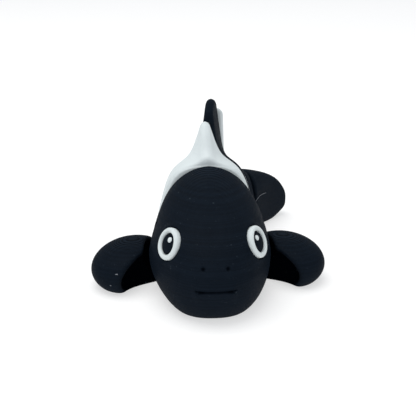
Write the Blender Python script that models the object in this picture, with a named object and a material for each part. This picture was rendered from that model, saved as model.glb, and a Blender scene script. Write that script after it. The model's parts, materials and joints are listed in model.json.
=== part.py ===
"""Articulated toy clownfish, printed in place in black and white plastic.

The fish is laid out straight, nose at y = 0 and tail towards +Y, Z up, with its flat belly on z = 0.
Its own left side is at +X. Each body is modelled in that straight layout and hung on the empty of
its hinge, and the hinges are then bent to the curled pose. Lengths are in millimetres here, and
finish_mesh() and place() turn them into metres.
"""

from math import asin, cos, exp, pi, radians, sin, sqrt, tan

import bmesh
import bpy
from mathutils import Matrix, Vector

MM = 0.001

# ---- driving dimensions, mm ----
HEAD_LENGTH = 33.0
HEAD_HALF_WIDTH = 18.0
HEAD_TOP = 35.2
SNOUT_Z = 12.0
CHIN_LENGTH = 12.0
BELLY_DEPTH = 2.6  # how far the round belly would reach below the flat it rests on
RIM_TUCK = 1.3  # the head narrows by this much towards its rear rim
RIM_START = 24.0
PLAN_POWER = 2.3  # above 2 the head is blunter than an ellipse, seen from above

JOINT_GAP = 0.6  # between two bodies on the centreline
PIECE_GAP = 0.3  # between two pieces of one body
SWING = 18.0  # degrees that each hinge turns to either side of straight
FACE_ANGLE = radians(SWING / 2 + 0.6)  # lean of the two faces that meet at a hinge, in a V
FACE_SLOPE = tan(FACE_ANGLE)

TRUNK_ENDS = (HEAD_LENGTH, 44.0, 56.0, 66.0, 75.0)  # rear faces on the centreline, head to last trunk
TAIL_END = 98.5

# A section is a superellipse below its widest level. Above it the flanks lean in, up to a round back.
BELLY_POWER = 2.4
FLANK_LEAN = 0.38
FLANK_POWER = 1.25
HEAD_BACK_POWER = 6.0
TRUNK_BACK_POWER = 11.0  # a higher power makes squarer shoulders

# Straight body behind the head: distance from nose, half width, height of the widest level, top, keel.
TRUNK_STATIONS = (
    (HEAD_LENGTH, 16.0, 11.0, 35.9, -BELLY_DEPTH),
    (44.0, 15.5, 11.0, 34.8, -BELLY_DEPTH),
    (56.0, 13.2, 10.6, 31.0, -2.2),
    (66.0, 10.4, 10.4, 25.4, -0.8),
    (76.0, 6.6, 10.8, 21.2, 2.2),
)
# Tail: distance from nose, half thickness, middle height, half height.
TAIL_STATIONS = (
    (75.0, 7.0, 11.9, 9.7),
    (80.0, 5.0, 10.4, 9.8),
    (86.0, 3.7, 8.8, 9.3),
    (90.0, 3.2, 7.9, 8.4),
    (94.0, 2.9, 7.1, 7.4),
    (TAIL_END, 2.6, 5.4, 6.0),
)
TAIL_ROUNDING = 10.0  # length over which the fan closes to its round rear edge
# Upper edge of the dorsal fin on each trunk piece that carries some: distance from nose, height.
DORSAL_EDGES = (
    ((33.0, 36.2), (36.5, 38.6), (39.5, 42.8), (42.0, 45.2), (44.0, 45.6)),
    ((44.0, 47.8), (47.0, 49.8), (50.0, 50.6), (53.0, 50.1), (56.0, 48.4)),
    ((56.0, 47.0), (59.0, 45.8), (62.2, 44.2)),
)
DORSAL_END = 62.2
DORSAL_END_RADIUS = 2.4
DORSAL_EDGE_RADII = (1.05, 1.3, 1.8)
DORSAL_TAPERS = (0.30, 0.10, 0.03)  # growth of the fin's half thickness per mm below its edge
DORSAL_ROOT_DROP = 0.9  # the fin is parted from the trunk this far below the back
DORSAL_FILLETS = (60.0, 60.0, 12.0)  # smoothing between back and fin, in half width squared
DORSAL_FILLET_FADE = 2.0  # depth below the fin's edge over which the fillet grows

# Hinges, head to tail. A bend of the curled pose is in degrees to the fish's left.
BENDS = (-1.0, 11.0, 10.0, 10.0, 17.0)
AXIS_SETBACKS = (5.2, 5.2, 5.0, 4.8, 4.2)  # hinge axis ahead of the rear face
SOCKET_FLOORS = (4.0, 4.0, 4.0, 5.0, 6.8)
SOCKET_CEILINGS = (16.0, 16.0, 14.0, 12.5, 12.4)
KNUCKLE_RADII = (3.5, 3.5, 3.3, 3.0, 2.5)
SOCKET_PLAY = 0.4
NECK_HALF = 1.2
NECK_BITE = 0.8  # how far the neck reaches into the body that it grows from

# Eyes: a white ring round a domed pupil with a small white glint, set in a round recess.
EYE_S = 11.0
EYE_Z = 20.0
EYE_RADIUS = 4.5
PUPIL_RADIUS = 2.9
EYE_DEPTH = 1.8
GLINT_RADIUS = 0.8
GLINT_OFFSET = 1.3

# Mouth: a level closed groove between two soft lips.
MOUTH_HALF = 5.2
MOUTH_Z = 10.4
MOUTH_GROOVE = 0.5
LIP_PROUD = 0.8
LIP_HALF = 6.8
LIP_HEIGHT = 2.2

# Pectoral fins, on the fish's left side: a ball for the paddle, and one that scoops it out from the front.
PADDLE_CENTRE = (22.3, 31.3, 5.4)
PADDLE_RADII = (12.9, 10.8, 8.45)
PADDLE_TURN = -29.0
SCOOP_CENTRE = (7.4, 27.2, 4.0)
SCOOP_RADII = (19.0, 5.8, 9.0)
SCOOP_TURN = -13.0
SCOOP_REACH = 12.0  # the scoop is drawn out forwards by this much
SWEPT_RADIUS = 19.3  # room for the head's rear, about the neck hinge, where the head is widest
SWEPT_HEIGHT = 14.6
SWEPT_LEVELS = 12
CUT_FLOOR = -1.0  # cutters that open the underside start at this height
RELIEF_RADIUS = 18.0  # room for the second trunk piece's front corners, about their hinge

# Colour and roughness of the two plastics.
WHITE = ((0.68, 0.73, 0.74), 0.5)
BLACK = ((0.006, 0.009, 0.014), 0.6)

BODY_LEVELS = 13  # points up one side of a body section
BODY_RINGS = 6
FIN_LEVELS = 6
SHARP_ANGLE = 40.0  # degrees between faces that are shaded as an edge
HEAD_RINGS = 17
DORSAL_RINGS = 8
TAIL_RINGS = 14


# ---- small maths ----
def smooth_step(value):
    """0 below 0, 1 above 1, and smooth in between."""
    t = min(1.0, max(0.0, value))
    return t * t * (3 - 2 * t)


def mix(a, b, share):
    return a + (b - a) * share


def smooth_max(a, b, width):
    """The larger of two values, rounded off where they are within a width of each other."""
    near = max(width - abs(a - b), 0.0) / max(width, 1e-6)
    return max(a, b) + near * near * width / 4


def spline(stations, at):
    """The stations' values at one distance, on a smooth curve through them."""
    last = len(stations) - 1
    i = 0
    while i < last - 1 and at > stations[i + 1][0]:
        i += 1
    a, b = stations[i], stations[i + 1]
    before, after = stations[max(0, i - 1)], stations[min(last, i + 2)]
    width = b[0] - a[0]
    t = min(1.0, max(0.0, (at - a[0]) / width))
    values = []
    for k in range(1, len(a)):
        slope_a = (b[k] - before[k]) / (b[0] - before[0]) * width
        slope_b = (after[k] - a[k]) / (after[0] - a[0]) * width
        rise = (3 - 2 * t) * t * t
        bow = t * (1 - t) * ((1 - t) * slope_a - t * slope_b)
        values.append(mix(a[k], b[k], rise) + bow)
    return values


# ---- the straight fish, as functions of distance from the nose (s) and height (z) ----
def head_section(s):
    """Half width, widest level, top and keel of the head."""
    ahead = 1 - s / HEAD_LENGTH
    chin = 1 - min(s, CHIN_LENGTH) / CHIN_LENGTH
    rim = smooth_step((s - RIM_START) / (HEAD_LENGTH - RIM_START))
    half = HEAD_HALF_WIDTH * (1 - ahead**PLAN_POWER) ** (1 / PLAN_POWER) - RIM_TUCK * rim
    top = SNOUT_Z + (HEAD_TOP - SNOUT_Z) * (1 - ahead**1.8) ** 0.6
    keel = SNOUT_Z - (SNOUT_Z + BELLY_DEPTH) * sqrt(1 - chin**2)
    return half, SNOUT_Z - rim, top, keel


def section(s):
    """Half width, widest level, top and keel of the body without its fins."""
    return head_section(s) if s < HEAD_LENGTH else spline(TRUNK_STATIONS, s)


def oval_square(s, z):
    """Half width squared of the body without its fins. It falls below 0 above the back."""
    half, wide, top, keel = section(max(0.0, s))
    if top - keel < 1e-6:
        return 0.0
    if z < wide:
        share = min(1.0, (wide - z) / (wide - keel))
        return half**2 * (1 - share**BELLY_POWER) ** (2 / BELLY_POWER)
    back_power = HEAD_BACK_POWER if s < HEAD_LENGTH else TRUNK_BACK_POWER
    share = (z - wide) / (top - wide)
    return half**2 * (1 - FLANK_LEAN * share**FLANK_POWER) ** 2 * (1 - share**back_power)


def oval_half_width(s, z):
    return sqrt(max(0.0, oval_square(s, z)))


def dorsal_number(s):
    """Which stretch of the dorsal fin is at a distance from the nose, from 0."""
    number = 0
    while number < 2 and s > TRUNK_ENDS[number + 1] + JOINT_GAP / 2:
        number += 1
    return number


def dorsal_edge(s):
    """Height of the dorsal fin's upper edge, rounded off at its rear corner."""
    edge = spline(DORSAL_EDGES[dorsal_number(s)], s)[0]
    return edge - DORSAL_END_RADIUS * (1 - dorsal_end_rounding(s))


def dorsal_end_rounding(s):
    """1 along the fin, and down to 0 at its upright rear edge."""
    beyond = max(0.0, s - (DORSAL_END - DORSAL_END_RADIUS)) / DORSAL_END_RADIUS
    return sqrt(max(0.0, 1 - beyond**2))


def dorsal_root(s):
    """Height at which the dorsal fin is parted from the trunk."""
    return section(s)[2] - DORSAL_ROOT_DROP


def dorsal_half_width(s, z):
    """Half thickness of the dorsal fin: a rounded edge, thicker towards its root and even below it."""
    edge = dorsal_edge(s)
    depth = min(edge - z, edge - dorsal_root(s))
    if depth <= 0:
        return 0.0
    radius, taper = DORSAL_EDGE_RADII[dorsal_number(s)], DORSAL_TAPERS[dorsal_number(s)]
    rounding = 1 - min(depth, radius) / radius
    return (radius * sqrt(1 - rounding**2) + taper * depth) * dorsal_end_rounding(s)


def finned_half_width(s, z):
    """Half width of trunk and dorsal fin together, with a fillet between them."""
    body, fin = oval_square(s, z), dorsal_half_width(s, z) ** 2
    grown = min(1.0, max(0.0, dorsal_edge(s) - z) / DORSAL_FILLET_FADE) if s < DORSAL_END else 0.0
    return sqrt(max(0.0, smooth_max(body, fin, DORSAL_FILLETS[dorsal_number(s)] * grown)))


def tail_section(s):
    """Half thickness, middle height and half height of the tail."""
    thick, middle, reach = spline(TAIL_STATIONS, s)
    back = max(0.0, s - (TAIL_END - TAIL_ROUNDING)) / TAIL_ROUNDING
    edge = max(0.0, s - (TAIL_END - thick)) / thick
    return thick * sqrt(max(0.0, 1 - min(1.0, edge) ** 2)), middle, reach * sqrt(max(0.0, 1 - back**2))


def tail_half_width(s, z):
    """Half width of the tail: round at its root, and a slab with round edges towards its end."""
    thick, middle, reach = tail_section(s)
    if reach < 1e-6:
        return 0.0
    power = mix(BELLY_POWER, 3.4, smooth_step((s - 76.0) / 10.0))
    share = min(1.0, abs(z - middle) / reach)
    return thick * (1 - share**power) ** (1 / power)


# ---- rings of points, keel to crest up the fish's left side ----
def oval_levels(s, ceiling=None):
    """Heights up a body section, closer together where it turns, from its keel or the floor to its top
    or a ceiling."""
    _, wide, top, keel = section(s)
    start = -pi / 2 if keel >= 0 else -asin(wide / (wide - keel))
    end = pi / 2 if ceiling is None else asin((ceiling - wide) / (top - wide))
    levels = []
    for i in range(BODY_LEVELS):
        turn = mix(start, end, i / (BODY_LEVELS - 1))
        levels.append(max(0.0, wide + (top - wide if turn > 0 else wide - keel) * sin(turn)))
    return levels


def edge_levels(floor, ceiling):
    """Heights up a fin's section, closer together at its rounded edge."""
    return [mix(floor, ceiling, sin(pi / 2 * i / FIN_LEVELS)) for i in range(FIN_LEVELS + 1)]


def ring(front, rear, share, levels, half_width, front_slope=0.0, rear_slope=0.0):
    """One ring of a body between two V faces: the centreline's y, and the points of one side."""
    middle = mix(front, rear, share)
    points = []
    for z in levels:
        x, y = half_width(middle, z), middle
        for _ in range(3):  # the slope moves the point along the body, where it is wider or narrower
            y = mix(front + front_slope * x, rear - rear_slope * x, share)
            x = half_width(y, z)
        points.append((x, y, z))
    return middle, points


# ---- meshes ----
def finish_mesh(bm, name):
    """Welds, turns the faces outwards, shades smooth and turns millimetres into metres."""
    bmesh.ops.remove_doubles(bm, verts=bm.verts, dist=2e-3)
    bmesh.ops.recalc_face_normals(bm, faces=bm.faces)
    bmesh.ops.scale(bm, vec=(MM, MM, MM), verts=bm.verts)
    mesh = bpy.data.meshes.new(name)
    bm.to_mesh(mesh)
    bm.free()
    mesh.shade_smooth()
    mesh.set_sharp_from_angle(angle=radians(SHARP_ANGLE))
    return mesh


def lofted(name, rings, lips=False):
    """A closed mesh through rings. Its end faces have a row of points on the centreline."""
    bm = bmesh.new()
    loops = []
    for middle, points in rings:
        left = [bm.verts.new(p) for p in points]
        right = [bm.verts.new((-x, y, z)) for x, y, z in points]
        keel = bm.verts.new((0.0, middle, points[0][2]))
        crest = bm.verts.new((0.0, middle, points[-1][2]))
        loops.append([keel, *left, crest, *reversed(right)])
    count = len(loops[0])
    for one, other in zip(loops, loops[1:]):
        for i in range(count):
            j = (i + 1) % count
            bm.faces.new((one[i], one[j], other[j], other[i]))
    for (middle, points), loop in ((rings[0], loops[0]), (rings[-1], loops[-1])):
        if max(x for x, _, _ in points) > 1e-3:
            cap(bm, loop, middle, len(points))
    if lips:
        for vert in bm.verts:
            vert.co.y -= lip_bulge(*vert.co)
    return finish_mesh(bm, name)


def cap(bm, loop, middle, levels):
    """Closes a ring with two rows of faces that meet on the centreline."""
    left = loop[1 : 1 + levels]
    right = list(reversed(loop[2 + levels :]))
    keel, crest = loop[0], loop[1 + levels]
    inner = [bm.verts.new((0.0, middle, v.co.z)) for v in left[1:-1]]
    centre = [keel, *inner, crest]
    for side in (left, right):
        for i in range(levels - 1):
            bm.faces.new((side[i], side[i + 1], centre[i + 1], centre[i]))


def turned(name, profile, steps):
    """A closed solid turned about its own Z from a profile of (radius, height) that starts and ends on it."""
    bm = bmesh.new()
    rows = []
    for i in range(steps):
        turn = 2 * pi * i / steps
        rows.append([bm.verts.new((r * cos(turn), r * sin(turn), z)) for r, z in profile])
    for i, row in enumerate(rows):
        after = rows[(i + 1) % steps]
        for k in range(len(profile)):
            j = (k + 1) % len(profile)
            if profile[k][0] > 0 or profile[j][0] > 0:
                bm.faces.new((row[k], after[k], after[j], row[j]))
    return finish_mesh(bm, name)


def ellipsoid(name, side, centre, radii, turn, reach=0.0):
    """A ball stretched along its own axes, with its front half drawn out by a reach, and then turned
    about Z. It is mirrored where side is -1."""
    bm = bmesh.new()
    bmesh.ops.create_uvsphere(bm, u_segments=32, v_segments=18, radius=1.0)
    for vert in bm.verts:
        if vert.co.y < -1e-3:
            vert.co.y -= reach / radii[1]
    x, y, z = centre
    pose = Matrix.Translation((side * x, y, z)) @ Matrix.Rotation(radians(side * turn), 4, "Z")
    pose = pose @ Matrix.Diagonal((*radii, 1.0))
    bmesh.ops.transform(bm, matrix=pose, verts=bm.verts)
    return finish_mesh(bm, name)


def prism(name, outline, floor, ceiling):
    """An outline in x and y, raised from a floor to a ceiling."""
    bm = bmesh.new()
    base = [bm.verts.new((x, y, floor)) for x, y in outline]
    roof = [bm.verts.new((x, y, ceiling)) for x, y in outline]
    bm.faces.new(base)
    bm.faces.new(roof)
    for i in range(len(outline)):
        j = (i + 1) % len(outline)
        bm.faces.new((base[i], base[j], roof[j], roof[i]))
    return finish_mesh(bm, name)


def disc_outline(y, radius, steps=28):
    turns = [2 * pi * i / steps for i in range(steps)]
    return [(radius * cos(turn), y + radius * sin(turn)) for turn in turns]


def swept_profile():
    """Radius by height of the room that the head's rear sweeps. It narrows as the head rounds under."""
    profile = []
    for i in range(SWEPT_LEVELS + 1):
        z = mix(CUT_FLOOR, SWEPT_HEIGHT, i / SWEPT_LEVELS)
        profile.append((SWEPT_RADIUS * oval_half_width(HEAD_LENGTH, z) / TRUNK_STATIONS[0][1], z))
    return [(0.0, CUT_FLOOR), *profile, (0.0, SWEPT_HEIGHT)]


def swing_room(number, radius, steps=20):
    """Outline of the room behind a body's rear face that the next body's corners swing through."""
    rear, setback = TRUNK_ENDS[number], AXIS_SETBACKS[number]
    start = asin(setback * cos(FACE_ANGLE) / radius) - FACE_ANGLE  # where the arc meets the rear face
    turns = [mix(start, pi - start, i / steps) for i in range(steps + 1)]
    return [(0.0, rear), *[(radius * cos(turn), rear - setback + radius * sin(turn)) for turn in turns]]


def swept_tube(name, path, radius, steps=8):
    """A closed tube along points that run roughly along X."""
    bm = bmesh.new()
    loops = []
    for i, point in enumerate(path):
        along = (path[min(i + 1, len(path) - 1)] - path[max(i - 1, 0)]).normalized()
        side = along.cross(Vector((0, 0, 1))).normalized()
        up = side.cross(along)
        spokes = [(cos(2 * pi * k / steps), sin(2 * pi * k / steps)) for k in range(steps)]
        loops.append([bm.verts.new(point + radius * (a * side + b * up)) for a, b in spokes])
    for one, other in zip(loops, loops[1:]):
        for k in range(steps):
            j = (k + 1) % steps
            bm.faces.new((one[k], one[j], other[j], other[k]))
    bm.faces.new(loops[0])
    bm.faces.new(loops[-1])
    return finish_mesh(bm, name)


# ---- scene objects ----
def plastic(name, finish):
    colour, roughness = finish
    material = bpy.data.materials.new(name)
    material.use_nodes = True
    shader = material.node_tree.nodes["Principled BSDF"]
    shader.inputs["Base Color"].default_value = (*colour, 1.0)
    shader.inputs["Roughness"].default_value = roughness
    shader.inputs["Metallic"].default_value = 0.0
    return material


def empty_at(name, parent, location):
    hinge = bpy.data.objects.new(name, None)
    bpy.context.scene.collection.objects.link(hinge)
    hinge.parent = parent
    hinge.location = location
    return hinge


def place(mesh, body, finish=None):
    """An object whose mesh is in the straight layout, hung on its body's hinge. No finish: a cutter."""
    obj = bpy.data.objects.new(mesh.name, mesh)
    bpy.context.scene.collection.objects.link(obj)
    obj.parent = body["hinge"]
    obj.location = (0.0, -body["axis"] * MM, 0.0)
    if finish:
        mesh.materials.append(plastic(mesh.name + "_plastic", finish))
    else:
        obj.hide_render = True
        obj.display_type = "WIRE"
    return obj


def combine(obj, tool, operation):
    modifier = obj.modifiers.new(tool.name, "BOOLEAN")
    modifier.object = tool
    modifier.operation = operation
    modifier.solver = "EXACT"


# ---- sub-parts ----
def body_rings(front, rear, slope, margin=0.0):
    """Rings of a trunk piece under its dorsal fin. A margin makes it fatter, for use as a cutter."""
    rings = []
    for i in range(BODY_RINGS):
        share = i / (BODY_RINGS - 1)
        s = mix(front, rear, share)
        levels = oval_levels(s, dorsal_root(s))
        middle, points = ring(front, rear, share, levels, finned_half_width, slope, slope)
        rings.append((middle, [(x + margin, y, z) for x, y, z in points]))
    return rings


def head_rings():
    rings = []
    for i in range(HEAD_RINGS):
        share = 1 - cos(pi / 2 * i / (HEAD_RINGS - 1))
        levels = oval_levels(share * HEAD_LENGTH)
        rings.append(ring(0.0, HEAD_LENGTH, share, levels, oval_half_width, 0.0, FACE_SLOPE))
    return rings


def lip_bulge(x, y, z):
    """How far the lips stand out ahead of the snout."""
    across = smooth_step((LIP_HALF - abs(x)) / 2.4)
    near = smooth_step((9.0 - y) / 3.0)
    return LIP_PROUD * across * near * exp(-(((z - MOUTH_Z) / LIP_HEIGHT) ** 2))


def snout_y(x, z):
    """The y at which the snout's skin is x wide at height z, lips included."""
    low, high = 0.0, HEAD_LENGTH / 2
    for _ in range(40):
        middle = (low + high) / 2
        if oval_half_width(middle, z) < x:
            low = middle
        else:
            high = middle
    return high - lip_bulge(x, high, z)


def mouth_cutter():
    steps = 14
    path = []
    for i in range(steps + 1):
        x = mix(-MOUTH_HALF, MOUTH_HALF, i / steps)
        path.append(Vector((x, snout_y(abs(x), MOUTH_Z), MOUTH_Z)))
    return swept_tube("mouth_cutter", path, MOUTH_GROOVE)


def eye_pose(side):
    """Matrix from an eye's own frame, Z out of the cheek and Y up, to the straight layout."""
    step = 0.05
    x = oval_half_width(EYE_S, EYE_Z)
    along = (oval_half_width(EYE_S + step, EYE_Z) - x) / step
    upward = (oval_half_width(EYE_S, EYE_Z + step) - x) / step
    out = Vector((side, -along, -upward)).normalized()
    across = Vector((0, 0, 1)).cross(out).normalized()
    up = out.cross(across)
    turn = Matrix((across, up, out)).transposed().to_4x4()
    return Matrix.Translation(Vector((side * x, EYE_S, EYE_Z)) * MM) @ turn


def add_eye(body, head, side, label):
    """A ring, pupil and glint, and the recess that they fill."""
    pose = eye_pose(side)
    inner = PUPIL_RADIUS + PIECE_GAP
    ring_profile = (
        (inner, -EYE_DEPTH),
        (EYE_RADIUS, -EYE_DEPTH),
        (EYE_RADIUS, 0.1),
        (EYE_RADIUS - 0.25, 0.6),
        ((EYE_RADIUS + inner) / 2, 0.95),
        (inner + 0.2, 0.75),
        (inner, 0.4),
    )
    dome = [(PUPIL_RADIUS * cos(a), 0.2 + 0.9 * sin(a)) for a in (0.0, 0.4, 0.8, 1.2)]
    pupil_profile = ((0.0, -EYE_DEPTH), (PUPIL_RADIUS, -EYE_DEPTH), *dome, (0.0, 1.1))
    glint_edge = ((GLINT_RADIUS, 0.2), (GLINT_RADIUS, 1.0), (GLINT_RADIUS / 2, 1.25))
    glint_profile = ((0.0, 0.2), *glint_edge, (0.0, 1.3))
    recess_profile = disc_profile(EYE_RADIUS + PIECE_GAP, -EYE_DEPTH - PIECE_GAP, 4.0)
    dimple_profile = disc_profile(GLINT_RADIUS + 0.2, 0.0, 3.0)

    eye_ring = place(turned("eye_ring_" + label, ring_profile, 32), body, WHITE)
    pupil = place(turned("eye_pupil_" + label, pupil_profile, 28), body, BLACK)
    glint = place(turned("eye_glint_" + label, glint_profile, 16), body, WHITE)
    recess = place(turned("eye_recess_" + label, recess_profile, 32), body)
    dimple = place(turned("glint_recess_" + label, dimple_profile, 16), body)
    glint_shift = Matrix.Translation(Vector((-0.7 * side * GLINT_OFFSET, GLINT_OFFSET, 0.0)) * MM)
    for piece in (eye_ring, pupil, recess):
        piece.data.transform(pose)
    for piece in (glint, dimple):
        piece.data.transform(pose @ glint_shift)
    combine(head, recess, "DIFFERENCE")
    combine(pupil, dimple, "DIFFERENCE")


def disc_profile(radius, floor, ceiling):
    return ((0.0, floor), (radius, floor), (radius, ceiling), (0.0, ceiling))


def add_socket(obj, body, number):
    """Cuts the round socket and its flared mouth into the rear of a body."""
    rear = TRUNK_ENDS[number]
    axis = rear - AXIS_SETBACKS[number]
    floor, ceiling = SOCKET_FLOORS[number], SOCKET_CEILINGS[number]
    radius = KNUCKLE_RADII[number] + SOCKET_PLAY
    well = place(prism(f"socket_{number}", disc_outline(axis, radius), floor, ceiling), body)
    start, end = NECK_HALF + SOCKET_PLAY, rear + 3.0
    flare = start + (end - axis) * tan(radians(SWING + 1))
    outline = ((-start, axis), (start, axis), (flare, end), (-flare, end))
    mouth = place(prism(f"socket_mouth_{number}", outline, floor, ceiling), body)
    combine(obj, well, "DIFFERENCE")
    combine(obj, mouth, "DIFFERENCE")


def add_knuckle(obj, body, number):
    """Grows the neck and knuckle that turn in the socket of the body ahead."""
    axis = body["axis"]
    floor = SOCKET_FLOORS[number] + SOCKET_PLAY
    ceiling = SOCKET_CEILINGS[number] - SOCKET_PLAY
    neck_end = TRUNK_ENDS[number] + JOINT_GAP + NECK_BITE
    neck_outline = ((-NECK_HALF, axis), (NECK_HALF, axis), (NECK_HALF, neck_end), (-NECK_HALF, neck_end))
    neck = place(prism(f"neck_{number}", neck_outline, floor + 0.2, ceiling - 0.2), body)
    barrel_outline = disc_outline(axis, KNUCKLE_RADII[number])
    barrel = place(prism(f"knuckle_{number}", barrel_outline, floor, ceiling), body)
    combine(obj, neck, "UNION")
    combine(obj, barrel, "UNION")


def add_dorsal(body, name, front, rear, finish):
    """The part of the dorsal fin that one trunk piece carries."""
    rings = []
    rear_slope = 0.0 if rear == DORSAL_END else FACE_SLOPE
    for i in range(DORSAL_RINGS):
        share = sin(pi / 2 * i / (DORSAL_RINGS - 1))
        s = mix(front, rear, share)
        levels = edge_levels(dorsal_root(s) + PIECE_GAP, dorsal_edge(s))
        rings.append(ring(front, rear, share, levels, finned_half_width, FACE_SLOPE, rear_slope))
    place(lofted(name, rings), body, finish)


def add_trunk(bodies, number, finish):
    """Trunk piece number 1 to 4 with its knuckle, its socket and its stretch of dorsal fin."""
    body = bodies[number]
    front, rear = TRUNK_ENDS[number - 1] + JOINT_GAP, TRUNK_ENDS[number]
    rings = body_rings(front, rear, FACE_SLOPE)
    trunk = place(lofted(f"trunk_{number}", rings), body, finish)
    add_socket(trunk, body, number)
    add_knuckle(trunk, body, number - 1)
    if front < DORSAL_END:
        add_dorsal(body, f"dorsal_fin_{number}", front, min(rear, DORSAL_END), finish)


def add_tail(body):
    """The tail's root with the last knuckle, flattening into the tail fin."""
    front = TRUNK_ENDS[-1] + JOINT_GAP
    rings = []
    for i in range(TAIL_RINGS):
        share = sin(pi / 2 * i / (TAIL_RINGS - 1))
        _, middle, reach = tail_section(mix(front, TAIL_END, share))
        start = -pi / 2 if reach < middle else -asin(middle / reach)
        turns = [mix(start, pi / 2, k / (BODY_LEVELS - 1)) for k in range(BODY_LEVELS)]
        levels = [max(0.0, middle + reach * sin(turn)) for turn in turns]
        rings.append(ring(front, TAIL_END, share, levels, tail_half_width, FACE_SLOPE, 0.0))
    tail = place(lofted("tail", rings), body, BLACK)
    add_knuckle(tail, body, len(TRUNK_ENDS) - 1)


def add_pectoral(body, side, label):
    """A thick paddle that grows from the first trunk piece, arches out and down to the floor, and is
    scooped out on the side that faces the head."""
    paddle_mesh = ellipsoid("pectoral_fin_" + label, side, PADDLE_CENTRE, PADDLE_RADII, PADDLE_TURN)
    paddle = place(paddle_mesh, body, BLACK)
    scoop_pose = (SCOOP_CENTRE, SCOOP_RADII, SCOOP_TURN, SCOOP_REACH)
    scoop_mesh = ellipsoid("pectoral_scoop_" + label, side, *scoop_pose)
    scoop = place(scoop_mesh, body)
    swept_mesh = turned("pectoral_clearance_" + label, swept_profile(), 48)
    swept_mesh.transform(Matrix.Translation((0.0, body["axis"] * MM, 0.0)))
    swept = place(swept_mesh, body)
    relief_outline = swing_room(1, RELIEF_RADIUS)
    relief = place(prism("pectoral_relief_" + label, relief_outline, CUT_FLOOR, SWEPT_HEIGHT), body)
    seat_rings = body_rings(TRUNK_ENDS[0] + JOINT_GAP, TRUNK_ENDS[1], 0.0, PIECE_GAP)
    seat = place(lofted("pectoral_seat_" + label, seat_rings), body)
    ground_outline = ((-60, 0), (60, 0), (60, 60), (-60, 60))
    ground = place(prism("pectoral_ground_" + label, ground_outline, -20.0, 0.0), body)
    for tool in (scoop, swept, relief, seat, ground):
        combine(paddle, tool, "DIFFERENCE")


def centre_on_origin(root):
    """Moves the toy so that the middle of its footprint is at the origin."""
    bpy.context.view_layer.update()
    graph = bpy.context.evaluated_depsgraph_get()
    corners = []
    for obj in bpy.data.objects:
        if obj.type == "MESH" and not obj.hide_render:
            shape = obj.evaluated_get(graph)
            corners += [obj.matrix_world @ vert.co for vert in shape.data.vertices]
    for axis in (0, 1):
        values = [corner[axis] for corner in corners]
        root.location[axis] -= (min(values) + max(values)) / 2


def build():
    for obj in list(bpy.data.objects):
        bpy.data.objects.remove(obj)

    head_body = {"axis": 0.0, "hinge": empty_at("toy", None, (0, 0, 0))}
    bodies = [head_body]
    for number, (rear, setback, bend) in enumerate(zip(TRUNK_ENDS, AXIS_SETBACKS, BENDS)):
        ahead, axis = bodies[-1], rear - setback
        hinge = empty_at(f"hinge_{number + 1}", ahead["hinge"], (0.0, (axis - ahead["axis"]) * MM, 0.0))
        hinge.rotation_euler.z = -radians(bend)
        bodies.append({"axis": axis, "hinge": hinge})

    head = place(lofted("head", head_rings(), lips=True), head_body, BLACK)
    combine(head, place(mouth_cutter(), head_body), "DIFFERENCE")
    add_socket(head, head_body, 0)
    for side, label in ((1, "left"), (-1, "right")):
        add_eye(head_body, head, side, label)
        add_pectoral(bodies[1], side, label)
    for number in range(1, 5):
        add_trunk(bodies, number, WHITE if number in (1, 3) else BLACK)
    add_tail(bodies[-1])
    centre_on_origin(head_body["hinge"])


build()
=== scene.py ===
"""Finished looks of the articulated toy clownfish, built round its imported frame.

The pieces are modelled in the toy's straight layout: nose at s = 0, tail towards +s, z up, the toy's own
left side at +x, in millimetres. The head, trunk, tail and fins are solids held as signed distances on a
grid, negative inside, and their skin is drawn where the distance is zero. The eyes are turned pieces. The
frame's hinges turn each piece into the curled pose.
"""

import json
from math import cos, pi, radians, sin, sqrt, tan

import bmesh
import bpy
import numpy as np
from mathutils import Matrix, Quaternion, Vector

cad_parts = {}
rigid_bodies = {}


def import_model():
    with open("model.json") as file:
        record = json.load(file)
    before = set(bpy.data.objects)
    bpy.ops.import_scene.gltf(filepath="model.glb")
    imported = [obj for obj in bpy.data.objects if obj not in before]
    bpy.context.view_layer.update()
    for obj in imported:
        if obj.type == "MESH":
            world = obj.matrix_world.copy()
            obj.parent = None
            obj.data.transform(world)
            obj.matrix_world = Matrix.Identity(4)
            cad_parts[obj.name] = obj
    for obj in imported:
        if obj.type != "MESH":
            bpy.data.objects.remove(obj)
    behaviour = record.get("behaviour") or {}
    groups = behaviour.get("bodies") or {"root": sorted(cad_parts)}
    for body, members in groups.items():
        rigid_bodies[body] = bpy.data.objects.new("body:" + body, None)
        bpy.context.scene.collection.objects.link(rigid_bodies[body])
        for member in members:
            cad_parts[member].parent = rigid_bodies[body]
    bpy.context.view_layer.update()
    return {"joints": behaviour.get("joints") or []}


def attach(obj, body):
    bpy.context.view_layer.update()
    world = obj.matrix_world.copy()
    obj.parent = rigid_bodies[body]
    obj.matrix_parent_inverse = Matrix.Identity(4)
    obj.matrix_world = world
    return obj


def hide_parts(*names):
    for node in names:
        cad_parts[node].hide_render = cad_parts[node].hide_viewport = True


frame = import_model()

MM = 0.001
STEP = 0.25  # spacing of the grid, mm

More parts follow.
